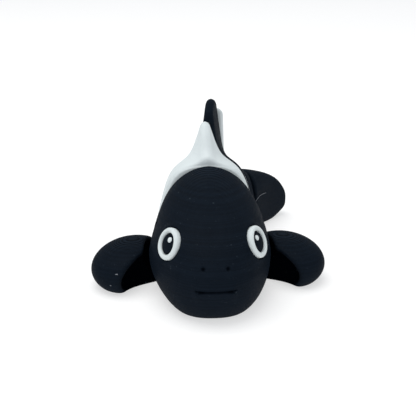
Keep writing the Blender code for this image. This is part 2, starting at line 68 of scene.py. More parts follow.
# ---- driving dimensions of the straight toy, mm ----
# They are the CAD's, apart from the thickness of the tail and of the second dorsal fin, which are reshaped
# by up to 0.5 mm.
HEAD_LENGTH = 33.0
HEAD_HALF_WIDTH = 18.0
HEAD_TOP = 35.2
SNOUT_Z = 12.0
CHIN_LENGTH = 12.0
BELLY_DEPTH = 2.6
RIM_TUCK = 1.3
RIM_START = 24.0
PLAN_POWER = 2.3
BROW_POWERS = (1.8, 0.6)  # shape of the head's upper outline: towards the rear, and near the nose
JOINT_GAP = 0.6
PIECE_GAP = 0.3
SWING = 18.0  # degrees that each hinge turns to either side of straight
FACE_SLACK = 0.6  # degrees that a body's sloped faces leave beyond half the swing
FLARE_SLACK = 1.0  # degrees that a socket's flared mouth leaves beyond the swing
FACE_SLOPE = tan(radians(SWING / 2 + FACE_SLACK))
TRUNK_ENDS = (HEAD_LENGTH, 44.0, 56.0, 66.0, 75.0)
TAIL_END = 98.5
BELLY_POWER = 2.4
FLANK_LEAN = 0.38
FLANK_POWER = 1.25
HEAD_BACK_POWER = 6.0
TRUNK_BACK_POWER = 11.0

# Distance from nose, half width, height of the widest level, top, keel.
TRUNK_STATIONS = (
    (HEAD_LENGTH, 16.0, 11.0, 35.9, -BELLY_DEPTH),
    (44.0, 15.5, 11.0, 34.8, -BELLY_DEPTH),
    (56.0, 13.2, 10.6, 31.0, -2.2),
    (66.0, 10.4, 10.4, 25.4, -0.8),
    (76.0, 6.6, 10.8, 21.2, 2.2),
)
# Distance from nose, half thickness, middle height, half height.
TAIL_STATIONS = (
    (75.0, 6.5, 11.9, 9.7),
    (80.0, 5.2, 10.4, 9.8),
    (86.0, 3.8, 8.8, 9.3),
    (90.0, 3.2, 7.9, 8.4),
    (94.0, 2.9, 7.1, 7.4),
    (TAIL_END, 2.6, 5.4, 6.0),
)
TAIL_ROUNDING = 10.0
# The tail's section goes from the belly's power to its own, squarer one over a length behind the start.
TAIL_POWER = 3.4
TAIL_POWER_START = 76.0
TAIL_POWER_LENGTH = 10.0
DORSAL_EDGES = (
    ((33.0, 36.2), (36.5, 38.6), (39.5, 42.8), (42.0, 45.2), (44.0, 45.6)),
    ((44.0, 47.8), (47.0, 49.8), (50.0, 50.6), (53.0, 50.1), (56.0, 48.4)),
    ((56.0, 47.0), (59.0, 45.8), (62.2, 44.2)),
)
DORSAL_END = 62.2
DORSAL_END_RADIUS = 2.4
DORSAL_EDGE_RADII = (1.05, 1.15, 1.8)
DORSAL_TAPERS = (0.30, 0.12, 0.03)
DORSAL_ROOT_DROP = 0.9

AXIS_SETBACKS = (5.2, 5.2, 5.0, 4.8, 4.2)
SOCKET_FLOORS = (4.0, 4.0, 4.0, 5.0, 6.8)
SOCKET_CEILINGS = (16.0, 16.0, 14.0, 12.5, 12.4)
KNUCKLE_RADII = (3.5, 3.5, 3.3, 3.0, 2.5)
SOCKET_PLAY = 0.4
NECK_HALF = 1.2
NECK_ROOT = 2.0  # how far the neck of a knuckle reaches into its own body
NECK_LEVEL_GAP = 0.2
NECK_ROUNDING = 0.5

EYE_S = 11.0
EYE_Z = 20.0
EYE_RADIUS = 4.5
PUPIL_RADIUS = 2.9
EYE_DEPTH = 1.8
GLINT_RADIUS = 0.8
GLINT_OFFSET = 1.3
MOUTH_HALF = 5.2
MOUTH_Z = 10.4
MOUTH_GROOVE = 0.5
LIP_PROUD = 0.8
LIP_HALF = 6.8
LIP_HEIGHT = 2.2
LIP_FADE = 2.4
LIP_BACK = 9.0  # distance from the nose at which the lips have run out, over the length below
LIP_BACK_FADE = 3.0

PADDLE_CENTRE = (22.3, 31.3, 5.4)
PADDLE_RADII = (12.9, 10.8, 8.45)
PADDLE_TURN = -29.0
SCOOP_CENTRE = (7.4, 27.2, 4.0)
SCOOP_RADII = (19.0, 5.8, 9.0)
SCOOP_TURN = -13.0
SCOOP_REACH = 12.0
SWEPT_RADIUS = 19.3
RELIEF_RADIUS = 18.0

# ---- dimensions of the finish only, mm ----
RIM_ROUNDING = 0.9  # width over which two faces run into each other at the edge of a body
FRONT_TUCK = {"depth": 0.8, "length": 4.0}  # each trunk piece draws in a little towards its front face
COLLAR = {"inset": 0.3, "proud": 0.3}  # low step round the front face of each trunk piece
DORSAL_FILLETS = (4.0, 4.0, 2.0)  # width over which the back of a trunk piece runs up into its dorsal fin
FLOOR_ROUNDING = 0.4
SOCKET_ROUNDING = 0.4
FIN_RIDGE = 2.6  # width over which a fin's scoop runs into its outer side
SWEPT_ROUNDING = 0.8
SEAT_ROUNDING = 0.4
PAINTED_SHADE_DEPTH = 0.6  # depth below the outer surface at which the painted shade is fullest
# The fins' scoops take painted shade over a greater depth.
SCOOP_SHADE_DEPTH = 1.8
EYE_SEAM = 0.12
RECESS_ROUNDING = 0.35  # at the edge of the mouth and of the eyes' recesses
LID = {"proud": 0.4, "offset": 0.6, "width": 0.9, "reach": 4.0}  # raised rim round each eye
NOSTRIL = {"x": 3.4, "z": 16.6, "radius": 0.75, "depth": 0.4, "rounding": 0.3}
GILL = {"s": 16.0, "z": 12.5, "radius": 12.0, "groove": 0.45, "start": 22.5, "fade": 2.5, "rounding": 0.3}
RING_CROWN = {"level": 0.15, "height": 0.85}
PUPIL_DOME = {"level": 0.1, "height": 1.0}
GLINT_DROP = {"foot": 0.4, "level": 0.75, "height": 0.5}
GLINT_SLANT = 0.7  # how far a glint is set across, as a share of how far it is set up
TURNED_STEPS = 96
# Marks that the printer left: a stray thread along the tail's left flank, and two blobs on the right fin.
# A blob's half sizes are along its length, its width and out of the skin.
THREAD_PATH = (
    (6.2, 76.2, 11.2),
    (5.93, 77.3, 11.8),
    (5.6, 78.6, 12.3),
    (5.0, 81.1, 12.35),
    (4.6, 83.3, 12.1),
)
THREAD_RADIUS = 0.07
THREAD_RINGS = 24
THREAD_SIDES = 6
BLOB_UNEVENNESS = 0.22
BLOBS = (
    {"place": (-27.06, 20.64, 7.26), "out": (-0.17, -0.93, 0.33), "half": (0.4, 0.14, 0.12)},
    {"place": (-28.95, 21.27, 3.55), "out": (-0.39, -0.86, -0.31), "half": (0.26, 0.13, 0.1)},
)

LAYER = 0.2 * MM  # height of one printed layer, m


# ---- small maths, on arrays ----
def smooth_step(value):
    t = np.clip(value, 0.0, 1.0)
    return t * t * (3 - 2 * t)


def mix(a, b, share):
    return a + (b - a) * share


def spline(stations, at):
    """The stations' values at each distance, on smooth curves through them."""
    table = np.array(stations)
    last = len(table) - 1
    i = np.clip(np.searchsorted(table[:, 0], at) - 1, 0, last - 1)
    a, b = table[i], table[i + 1]
    before, after = table[np.maximum(i - 1, 0)], table[np.minimum(i + 2, last)]
    width = b[..., 0] - a[..., 0]
    t = np.clip((at - a[..., 0]) / width, 0.0, 1.0)
    values = []
    for k in range(1, table.shape[1]):
        slope_a = (b[..., k] - before[..., k]) / (b[..., 0] - before[..., 0]) * width
        slope_b = (after[..., k] - a[..., k]) / (after[..., 0] - a[..., 0]) * width
        rise = (3 - 2 * t) * t * t
        bow = t * (1 - t) * ((1 - t) * slope_a - t * slope_b)
        values.append(mix(a[..., k], b[..., k], rise) + bow)
    return values


def smooth_max(a, b, width):
    """The larger of two distances, rounded off where they are within a width of each other."""
    near = np.maximum(width - np.abs(a - b), 0.0) / width
    return np.maximum(a, b) + near * near * width / 4


def smooth_min(a, b, width):
    return -smooth_max(-a, -b, width)


def signed_power(value, power):
    return np.sign(value) * np.abs(value) ** power


# ---- the straight toy: half width squared at (s, z), below 0 beyond the top and the keel ----
def head_section(s):
    ahead = 1 - np.clip(s, 1e-3, HEAD_LENGTH) / HEAD_LENGTH
    chin = 1 - np.clip(s, 1e-3, CHIN_LENGTH) / CHIN_LENGTH
    rim = smooth_step((s - RIM_START) / (HEAD_LENGTH - RIM_START))
    half = HEAD_HALF_WIDTH * (1 - ahead**PLAN_POWER) ** (1 / PLAN_POWER) - RIM_TUCK * rim
    top = SNOUT_Z + (HEAD_TOP - SNOUT_Z) * (1 - ahead ** BROW_POWERS[0]) ** BROW_POWERS[1]
    keel = SNOUT_Z - (SNOUT_Z + BELLY_DEPTH) * np.sqrt(1 - chin**2)
    return half, SNOUT_Z - rim, top, keel


def trunk_section(s):
    return spline(TRUNK_STATIONS, s)


def oval_square(section, back_power, z):
    """Half width squared of a body section without its fins."""
    half, wide, top, keel = section
    down = np.maximum(wide - z, 0.0) / (wide - keel)
    lower = half**2 * signed_power(1 - down**BELLY_POWER, 2 / BELLY_POWER)
    up = np.minimum(np.maximum(z - wide, 0.0) / (top - wide), 2.0)
    lean = 1 - FLANK_LEAN * np.minimum(up, 1.0) ** FLANK_POWER
    upper = half**2 * lean**2 * (1 - up**back_power)
    return np.where(z < wide, lower, upper)


def head_square(s, z):
    beyond_nose = np.maximum(-s, 0.0)
    return oval_square(head_section(s), HEAD_BACK_POWER, z) - HEAD_HALF_WIDTH * 2 * beyond_nose


def dorsal_square(number, s, z):
    """Half thickness squared of the stretch of dorsal fin on one trunk piece."""
    edge = spline(DORSAL_EDGES[number - 1], s)[0]
    depth = edge - np.maximum(z, trunk_section(s)[2] - DORSAL_ROOT_DROP)
    radius, taper = DORSAL_EDGE_RADII[number - 1], DORSAL_TAPERS[number - 1]
    short = 1 - np.clip(depth, 0.0, radius) / radius
    thick = radius * np.sqrt(1 - short**2) + taper * np.maximum(depth, 0.0)
    above = 2 * radius * depth - depth**2
    return np.where(depth > 0, thick**2, above)


def trunk_square(s, z):
    return oval_square(trunk_section(s), TRUNK_BACK_POWER, z)


def tail_square(s, z):
    thick, middle, reach = spline(TAIL_STATIONS, s)
    back = np.maximum(0.0, s - (TAIL_END - TAIL_ROUNDING)) / TAIL_ROUNDING
    edge = np.maximum(0.0, s - (TAIL_END - thick)) / thick
    reach = reach * np.sqrt(np.maximum(1 - back**2, 1e-3))
    power = mix(BELLY_POWER, TAIL_POWER, smooth_step((s - TAIL_POWER_START) / TAIL_POWER_LENGTH))
    share = np.minimum(np.abs(z - middle) / reach, 3.0)
    across = signed_power(1 - share**power, 2 / power)
    along = 1 - edge**2
    return thick**2 * np.where(along < 0, along, np.where(across < 0, across, across * along))


# ---- solids as distances on a grid ----
class Grid:
    """Points STEP apart in a box of the straight layout. Its x, s and z hold their coordinates."""

    def __init__(self, low, high):
        self.low = np.array(low)
        counts = [int(round((b - a) / STEP)) + 1 for a, b in zip(low, high)]
        axes = [a + STEP * np.arange(count) for a, count in zip(low, counts)]
        self.x, self.s, self.z = np.meshgrid(*axes, indexing="ij")

    def skin(self, square):
        """Distance to the surface whose half width squared is square(s, z)."""
        wide = square(self.s[0], self.z[0])
        along_s, along_z = np.gradient(wide, STEP)
        slope = np.sqrt(4 * self.x**2 + along_s**2 + along_z**2) + 1e-6
        return (self.x**2 - wide) / slope

    def front_face(self, s):
        """Distance ahead of a V face whose middle is at s and whose sides slope back."""
        return (s + FACE_SLOPE * np.abs(self.x) - self.s) / sqrt(1 + FACE_SLOPE**2)

    def rear_face(self, s):
        """Distance behind a face whose middle is at s and whose sides slope forwards."""
        return (self.s - s + FACE_SLOPE * np.abs(self.x)) / sqrt(1 + FACE_SLOPE**2)

    def post(self, s, radius, floor, ceiling):
        """Distance to an upright cylinder on the centreline."""
        round_wall = np.sqrt(self.x**2 + (self.s - s) ** 2) - radius
        return np.maximum(round_wall, np.maximum(floor - self.z, self.z - ceiling))

    def ball(self, centre, radii, turn, reach=0.0):
        """Distance to a ball stretched along its own axes and turned about z. A reach draws its front
        half out forwards."""
        x, s, z = centre
        across, along = self.x - x, self.s - s
        c, d = cos(radians(turn)), sin(radians(turn))
        u = c * across + d * along
        v = c * along - d * across
        v = np.where(v < 0, np.minimum(v + reach, 0.0), v)
        w = self.z - z
        size = np.sqrt((u / radii[0]) ** 2 + (v / radii[1]) ** 2 + (w / radii[2]) ** 2)
        slope = np.sqrt((u / radii[0] ** 2) ** 2 + (v / radii[1] ** 2) ** 2 + (w / radii[2] ** 2) ** 2)
        return size * (size - 1) / np.maximum(slope, 1e-6)


def hinge_s(number):
    """Distance from the nose to hinge number 1 to 5."""
    return TRUNK_ENDS[number - 1] - AXIS_SETBACKS[number - 1]


def cut_socket(grid, solid, number):
    """Takes the round socket and flared mouth of hinge number 1 to 5 out of the body ahead of it."""
    i = number - 1
    axis, radius = hinge_s(number), KNUCKLE_RADII[i] + SOCKET_PLAY
    floor, ceiling = SOCKET_FLOORS[i], SOCKET_CEILINGS[i]
    well = grid.post(axis, radius, floor, ceiling)
    start, flare = NECK_HALF + SOCKET_PLAY, tan(radians(SWING + FLARE_SLACK))
    walls = (np.abs(grid.x) - start - flare * (grid.s - axis)) / sqrt(1 + flare**2)
    mouth = np.maximum(np.maximum(walls, axis - grid.s), np.maximum(floor - grid.z, grid.z - ceiling))
    return smooth_max(solid, -np.minimum(well, mouth), SOCKET_ROUNDING)


def grow_knuckle(grid, solid, number):
    """Adds the neck and knuckle of hinge number 1 to 5 to the body behind it."""
    i = number - 1
    axis = hinge_s(number)
    floor, ceiling = SOCKET_FLOORS[i] + SOCKET_PLAY, SOCKET_CEILINGS[i] - SOCKET_PLAY
    barrel = grid.post(axis, KNUCKLE_RADII[i], floor, ceiling)
    ends = np.maximum(axis - grid.s, grid.s - (TRUNK_ENDS[i] + JOINT_GAP + NECK_ROOT))
    levels = np.maximum(floor + NECK_LEVEL_GAP - grid.z, grid.z - ceiling + NECK_LEVEL_GAP)
    neck = np.maximum(np.maximum(np.abs(grid.x) - NECK_HALF, ends), levels)
    return smooth_min(solid, smooth_min(barrel, neck, NECK_ROUNDING), NECK_ROUNDING)


# ---- from distances to a mesh ----
def sample(values, points):
    """The values at places between the grid's own points. The places are given in grid steps."""
    top = np.array(values.shape) - 1.001
    points = np.clip(points, 0.0, top)
    base = points.astype(int)
    part = points - base
    total = np.zeros(len(points))
    for corner in np.ndindex(2, 2, 2):
        weight = np.prod(np.where(corner, part, 1 - part), axis=1)
        i, j, k = (base + corner).T
        total += weight * values[i, j, k]
    return total


def net_points(values, cells):
    """One point in each cell that the surface crosses, amid the places where it crosses the edges."""
    total = np.zeros(cells.shape)
    hits = np.zeros((len(cells), 1))
    for axis in range(3):
        unit = np.eye(3, dtype=int)[axis]
        for corner in np.ndindex(2, 2, 2):
            if corner[axis]:
                continue
            a = values[tuple((cells + corner).T)]
            b = values[tuple((cells + corner + unit).T)]
            crossed = (a < 0) != (b < 0)
            share = np.where(crossed, a / np.where(crossed, a - b, 1.0), 0.0)
            place = np.array(corner) + share[:, None] * unit
            total += place * crossed[:, None]
            hits += crossed[:, None]
    return cells + total / hits


def net_faces(inside, index):
    """Four-sided faces, one round each grid edge that the surface crosses, turned outwards."""
    faces = []
    for axis in range(3):
        u, v = np.roll(np.eye(3, dtype=int), -axis - 1, axis=0)[:2]
        lower = np.take(inside, np.arange(inside.shape[axis] - 1), axis)
        upper = np.take(inside, np.arange(1, inside.shape[axis]), axis)
        edges = np.argwhere(lower != upper)
        outward = lower[tuple(edges.T)]
        corners = [index[tuple((edges - shift).T)] for shift in (u + v, v, 0 * u, u)]
        quads = np.stack(corners, axis=1)
        faces.append(np.where(outward[:, None], quads, quads[:, ::-1]))
    return np.concatenate(faces)


def settle(values, points, faces, rounds=3, ease=0.7):
    """Spreads the points evenly over the surface and puts them back on it, in a few rounds. In each a
    point goes part of the way, the ease, to the middle of its neighbours."""
    for _ in range(rounds):
        centres = points[faces].mean(axis=1)
        count = np.bincount(faces.ravel(), minlength=len(points))
        spread = [np.bincount(faces.ravel(), np.repeat(c, 4), len(points)) / count for c in centres.T]
        points = mix(points, np.stack(spread, axis=1), ease)
        slope = np.empty(points.shape)
        for axis in range(3):
            shift = 0.5 * np.eye(3)[axis]
            slope[:, axis] = sample(values, points + shift) - sample(values, points - shift)
        length = np.maximum((slope**2).sum(axis=1), 1e-6)
        move = sample(values, points) / length
        points = points - np.clip(move, -2.0, 2.0)[:, None] * slope
    return points


def skin_mesh(grid, values, outside, shade_depth=PAINTED_SHADE_DEPTH):
    """Points, in millimetres, and faces of the surface where the distance is zero. A last value for each
    point, its painted shade, grows from 0 to 1 as it lies deeper below the solid's outside, down to a
    shade depth in mm."""
    inside = values < 0
    counts = sum(
        inside[i : i - 1 or None, j : j - 1 or None, k : k - 1 or None].astype(np.int8)
        for i, j, k in np.ndindex(2, 2, 2)
    )
    cells = np.argwhere((counts > 0) & (counts < 8))
    index = np.full(counts.shape, -1)
    index[tuple(cells.T)] = np.arange(len(cells))
    faces = net_faces(inside, index)
    points = settle(values, net_points(values, cells), faces)
    # Painted shade: darker the deeper a point lies below the outside, in recesses, scoops and between
    # parts.
    painted_shade = smooth_step(-sample(outside, points) / shade_depth)
    return grid.low + points * STEP, faces, painted_shade


# ---- objects ----
def body_poses():
    """For each body, the matrix from the straight layout in metres to the curled pose. The range of each
    hinge is even about the straight toy."""
    joints = frame["joints"]
    head_shift = Vector(joints[0]["pos_m"]) - Vector((0, hinge_s(1), 0)) * MM
    poses = {joints[0]["parent"]: Matrix.Translation(head_shift)}
    turn = 0.0
    for number, joint in enumerate(joints, 1):
        turn -= radians(sum(joint["range_deg"]) / 2)
        place = Matrix.Translation(joint["pos_m"]) @ Matrix.Rotation(turn, 4, "Z")
        poses[joint["child"]] = place @ Matrix.Translation((0, -hinge_s(number) * MM, 0))
    return poses


POSES = body_poses()


def add_piece(name, points, faces, painted_shade, body, material, slot, replaced):
    """A piece whose points are in the straight layout, in millimetres. The material gets darker, as
    painted shade, where a point's painted shade is high."""
    mesh = bpy.data.meshes.new(name)
    mesh.from_pydata(np.asarray(points) * MM, [], faces)
    # Each point's painted shade is stored for the material to darken it.
    mesh.attributes.new("painted_shade", "FLOAT", "POINT").data.foreach_set("value", painted_shade)
    mesh.transform(POSES[body])
    mesh.shade_smooth()
    mesh.materials.append(material)
    piece = bpy.data.objects.new(name, mesh)
    bpy.context.scene.collection.objects.link(piece)
    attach(piece, body)
    if replaced:
        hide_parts(*replaced)
    return piece


# ---- materials ----
def link(tree, node, socket, value):
    """Sets a node's input to a number or to another node's output."""
    if isinstance(value, bpy.types.NodeSocket):
        tree.links.new(value, node.inputs[socket])
    else:
        node.inputs[socket].default_value = value


def maths(tree, operation, a, b=0.0, c=0.0):
    node = tree.nodes.new("ShaderNodeMath")
    node.operation = operation
    for socket, value in enumerate((a, b, c)):
        link(tree, node, socket, value)
    return node.outputs[0]


def noise(tree, position, scale):
    """Soft noise from 0 to 1. Its scale is the number of its patches in a metre."""
    node = tree.nodes.new("ShaderNodeTexNoise")
    link(tree, node, "Vector", position)
    node.inputs["Scale"].default_value = scale
    node.inputs["Detail"].default_value = 2.0
    return node.outputs["Fac"]


LAYER_WANDER = 0.35  # how far the layers wander up and down, in layers
BEAD_SHADE_SHARE = 0.62  # share of the tone that follows each layer's bead: painted shade in the grooves between layers
# Patches in a metre of each noise in the plastic.
WANDER_SCALE = 90.0
CLOUD_SCALE = 260.0
PAINTED_GLINT_SCALE = 1400.0
GRAIN_SCALE = 6000.0
# Heights in its relief, in layers.
STEP_HEIGHT = 0.8
BEAD_HEIGHT = 0.14
STREAK_HEIGHT = 0.2
GRAIN_HEIGHT = 0.10
STEP_FALL = 4.0  # how many times as steeply a step falls as it rises
STEP_ROUNDING = 0.1
ROUGHNESS_SPREAD = 0.10
# Painted glints: sparse pale highlights on the layers.
PAINTED_GLINT_CONTRAST = 9.0
PAINTED_GLINT_OFFSET = -6.2
PAINTED_GLINT_COLOUR = (0.06, 0.075, 0.09, 1.0)


def printed_plastic(name, colour, shade, roughness, specular, sheen_loss, layer_relief, mottle, painted_glints):
    """Matte printed plastic: fine layers by height, small steps on shallow slopes, and streaks that
    differ from layer to layer. colour and shade are its light and dark tones. Its tone has painted shade
    in the grooves between layers, and it is shade alone, as painted shade with no gloss, where the skin
    lies deep below its outside. mottle is the share of the tone that the streaks take. A sheen loss of 1
    takes away its gloss where it is seen edge-on. A painted glint setting of 1 strews it with small pale
    painted highlights."""
    material = bpy.data.materials.new(name)
    material.use_nodes = True
    tree = material.node_tree
    shader = tree.nodes["Principled BSDF"]
    position = tree.nodes.new("ShaderNodeTexCoord").outputs["Object"]
    split = tree.nodes.new("ShaderNodeSeparateXYZ")
    tree.links.new(position, split.inputs[0])
    geometry = tree.nodes.new("ShaderNodeNewGeometry")
    normal = tree.nodes.new("ShaderNodeSeparateXYZ")
    tree.links.new(geometry.outputs["Normal"], normal.inputs[0])

    # Layers by height, which wander up and down a little, each with a random value of its own.
    wander = noise(tree, position, WANDER_SCALE)
    layers = maths(tree, "MULTIPLY", split.outputs["Z"], 1 / LAYER)
    layers = maths(tree, "MULTIPLY_ADD", wander, LAYER_WANDER, layers)
    number = maths(tree, "FLOOR", layers)
    part = maths(tree, "FRACT", layers)
    each = tree.nodes.new("ShaderNodeTexWhiteNoise")
    each.noise_dimensions = "1D"
    tree.links.new(number, each.inputs["W"])
    streak = each.outputs["Value"]

    # Relief: a rounded bead on walls, a step on slopes that face up, uneven layers and fine grain.
    bead = maths(tree, "SINE", maths(tree, "MULTIPLY", part, pi))
    upward = maths(tree, "MAXIMUM", normal.outputs["Z"], 0.0)
    sideways = maths(tree, "SUBTRACT", 1.0, upward)
    fall = maths(tree, "MULTIPLY", maths(tree, "SUBTRACT", 1.0, part), STEP_FALL)
    rise = maths(tree, "SMOOTH_MIN", part, fall, STEP_ROUNDING)
    step = maths(tree, "MULTIPLY", maths(tree, "MULTIPLY", rise, upward), -STEP_HEIGHT)
    wall = maths(tree, "MULTIPLY", maths(tree, "MULTIPLY", bead, sideways), BEAD_HEIGHT)
    uneven = maths(tree, "MULTIPLY", streak, STREAK_HEIGHT)
    grain = maths(tree, "MULTIPLY", noise(tree, position, GRAIN_SCALE), GRAIN_HEIGHT)
    height = maths(tree, "ADD", maths(tree, "ADD", step, wall), maths(tree, "ADD", uneven, grain))
    bump = tree.nodes.new("ShaderNodeBump")
    bump.inputs["Strength"].default_value = layer_relief
    bump.inputs["Distance"].default_value = LAYER
    tree.links.new(height, bump.inputs["Height"])
    tree.links.new(bump.outputs[0], shader.inputs["Normal"])

    # Tone: lightest in the middle of a bead, with painted shade in the grooves between layers, and uneven
    # from layer to layer and from place to place.
    cloud = maths(tree, "MULTIPLY", noise(tree, position, CLOUD_SCALE), 1 - BEAD_SHADE_SHARE - mottle)
    tone = maths(tree, "MULTIPLY_ADD", streak, mottle, cloud)
    # Painted shade: the tone drops towards the grooves between layers.
    tone = maths(tree, "MULTIPLY_ADD", bead, BEAD_SHADE_SHARE, tone)
    # Painted shade: the tone goes to shade alone where the skin lies below its outside.
    painted_shade = tree.nodes.new("ShaderNodeAttribute")
    painted_shade.attribute_name = "painted_shade"
    unshaded = maths(tree, "MULTIPLY_ADD", painted_shade.outputs["Fac"], -1.0, 1.0)
    tone = maths(tree, "MULTIPLY", tone, unshaded)
    blend = tree.nodes.new("ShaderNodeMix")
    blend.data_type = "RGBA"
    tree.links.new(tone, blend.inputs["Factor"])
    blend.inputs["A"].default_value = (*shade, 1.0)
    blend.inputs["B"].default_value = (*colour, 1.0)

    # Painted glints: pale highlights where a fine noise peaks, on some layers more than others.
    glint_noise = noise(tree, position, PAINTED_GLINT_SCALE)
    painted_glint = maths(tree, "MULTIPLY_ADD", glint_noise, PAINTED_GLINT_CONTRAST, PAINTED_GLINT_OFFSET)
    painted_glint_share = maths(tree, "MULTIPLY", streak, painted_glints)
    painted_glint = maths(tree, "MULTIPLY", maths(tree, "MAXIMUM", painted_glint, 0.0), painted_glint_share)
    pale = tree.nodes.new("ShaderNodeMix")
    pale.data_type = "RGBA"
    tree.links.new(painted_glint, pale.inputs["Factor"])
    tree.links.new(blend.outputs["Result"], pale.inputs["A"])
    pale.inputs["B"].default_value = PAINTED_GLINT_COLOUR
    tree.links.new(pale.outputs["Result"], shader.inputs["Base Color"])

    # Gloss.
    rough = maths(tree, "MULTIPLY_ADD", streak, ROUGHNESS_SPREAD, roughness - ROUGHNESS_SPREAD / 2)
    tree.links.new(rough, shader.inputs["Roughness"])
    facing = tree.nodes.new("ShaderNodeLayerWeight")
    facing.inputs["Blend"].default_value = 0.5
    level = maths(tree, "MULTIPLY_ADD", facing.outputs["Facing"], -sheen_loss * specular, specular)
    # The painted shade also takes the gloss away there.
    level = maths(tree, "MULTIPLY", level, unshaded)
    tree.links.new(level, shader.inputs["Specular IOR Level"])
    return material


BLACK = printed_plastic(
    "black_plastic",
    colour=(0.0092, 0.0150, 0.0242),
    shade=(0.0003, 0.0008, 0.0018),
    roughness=0.5,
    specular=0.022,
    sheen_loss=0.8,
    layer_relief=1.0,
    mottle=0.22,
    # Painted glints, pale highlights, on the black plastic only.
    painted_glints=1.0,
)
WHITE = printed_plastic(
    "white_plastic",
    colour=(0.685, 0.74, 0.745),
    shade=(0.645, 0.70, 0.71),
    roughness=0.5,
    specular=0.25,
    sheen_loss=0.0,
    layer_relief=0.25,
    mottle=0.2,
    painted_glints=0.0,
)
# The stray thread and blobs.
PALE = printed_plastic(
    "stray_plastic",
    colour=(0.26, 0.28, 0.31),
    shade=(0.16, 0.17, 0.19),
    roughness=0.4,
    specular=0.3,
    sheen_loss=0.0,
    layer_relief=0.25,
    mottle=0.2,
    painted_glints=0.0,
)
BLACK_SLOT, WHITE_SLOT = "black_plastic", "white_plastic"


# ---- head ----
def lip_bulge(x, s, z):
    """How far the lips stand out ahead of the snout."""
    across = smooth_step((LIP_HALF - np.abs(x)) / LIP_FADE)
    near = smooth_step((LIP_BACK - s) / LIP_BACK_FADE)
    return LIP_PROUD * across * near * np.exp(-(((z - MOUTH_Z) / LIP_HEIGHT) ** 2))


def snout_s(x, z):
    """Distance from the nose to the snout's skin at (x, z), without lips."""
    s = np.linspace(0.0, HEAD_LENGTH / 2, 400)
    half = np.sqrt(np.maximum(head_square(s, np.full_like(s, z)), 0.0))
    return np.interp(np.abs(x), half, s)


def eye_frame(side):
    """Centre of an eye in the straight layout, and its axes: across, up and out of the cheek."""
    step = 0.05
    spots = np.array([(EYE_S, EYE_Z), (EYE_S + step, EYE_Z), (EYE_S, EYE_Z + step)])
    x, x_s, x_z = np.sqrt(head_square(spots[:, 0], spots[:, 1]))
    out = Vector((side, -(x_s - x) / step, -(x_z - x) / step)).normalized()
    across = Vector((0, 0, 1)).cross(out).normalized()
    return Vector((side * x, EYE_S, EYE_Z)), (across, out.cross(across), out)


def in_eye(grid, side):
    """Distance from an eye's own axis, and height above the cheek, for each point of a grid."""
    centre, axes = eye_frame(side)
    offset = (grid.x - centre.x, grid.s - centre.y, grid.z - centre.z)
    across, up, out = (sum(o * a for o, a in zip(offset, axis)) for axis in axes)
    return np.sqrt(across**2 + up**2), out


def head_solid():
    """The head with its mouth, nostrils, eye recesses, gill lines and socket, and its uncut outside."""
    grid = Grid(low=(-19.0, -2.0, -1.0), high=(19.0, 34.5, 36.5))
    solid = grid.skin(head_square)
    facing = np.clip(-np.gradient(solid, STEP, axis=1), 0.0, 1.0)
    solid = solid - lip_bulge(grid.x, grid.s, grid.z) * facing
    outside = solid
    groove_s = snout_s(grid.x, MOUTH_Z)
    groove_s = groove_s - lip_bulge(grid.x, groove_s, MOUTH_Z)
    beyond = np.maximum(np.abs(grid.x) - MOUTH_HALF, 0.0)
    groove = np.sqrt(beyond**2 + (grid.s - groove_s) ** 2 + (grid.z - MOUTH_Z) ** 2) - MOUTH_GROOVE
    solid = smooth_max(solid, -groove, RECESS_ROUNDING)

    for side in (1, -1):
        radial, out = in_eye(grid, side)
        from_lid = (radial - EYE_RADIUS - LID["offset"]) / LID["width"]
        lid = np.exp(-(from_lid**2)) * (out > -LID["reach"])
        solid = solid - LID["proud"] * lid
        recess = np.maximum(radial - EYE_RADIUS - EYE_SEAM, -EYE_DEPTH - EYE_SEAM - out)
        solid = smooth_max(solid, -recess, RECESS_ROUNDING)
        x, z = side * NOSTRIL["x"], NOSTRIL["z"]
        s = snout_s(x, z) - NOSTRIL["radius"] + NOSTRIL["depth"]
        nostril = grid.ball((x, s, z), (NOSTRIL["radius"],) * 3, 0.0)
        solid = smooth_max(solid, -nostril, NOSTRIL["rounding"])

    ring = np.sqrt((grid.s - GILL["s"]) ** 2 + (grid.z - GILL["z"]) ** 2) - GILL["radius"]
    fade = smooth_step((grid.s - GILL["start"]) / GILL["fade"])
    gill = np.sqrt(ring**2 + solid**2) - GILL["groove"] * fade
    solid = smooth_max(solid, -gill, GILL["rounding"])

    solid = smooth_max(solid, grid.rear_face(HEAD_LENGTH), RIM_ROUNDING)
    solid = smooth_max(solid, -grid.z, FLOOR_ROUNDING)
    outside = smooth_max(outside, grid.rear_face(HEAD_LENGTH), RIM_ROUNDING)
    return grid, cut_socket(grid, solid, 1), outside


def turned(profile, steps):
    """Points and faces of a closed solid turned about z. The profile holds (radius, height) points round
    its section, and its last point joins up with its first."""
    points, faces = [], []
    for i in range(steps):
        turn = 2 * pi * i / steps
        points += [(r * cos(turn), r * sin(turn), z) for r, z in profile]
    rows = len(profile)
    for i in range(steps):
        j = (i + 1) % steps
        for k in range(rows):
            m = (k + 1) % rows
            faces.append((i * rows + k, j * rows + k, j * rows + m, i * rows + m))
    return points, faces


def arc(centre, radii, end, count):
    """Points on an ellipse, from its outer side up to an end in degrees."""
    turns = [radians(end * i / (count - 1)) for i in range(count)]
    return [(centre[0] + radii[0] * cos(t), centre[1] + radii[1] * sin(t)) for t in turns]


def add_turned(name, profile, side, material, slot, shift=(0, 0, 0)):
    """A turned piece of an eye, in the eye's own frame. It replaces the CAD's node of the same name."""
    points, faces = turned(profile, TURNED_STEPS)
    centre, (across, up, out) = eye_frame(side)
    turn = np.array((across, up, out))
    points = (np.array(points) + shift) @ turn + np.array(centre)
    piece = add_piece(name, points, faces, np.zeros(len(points)), "head", material, slot, [name])
    weld(piece.data)


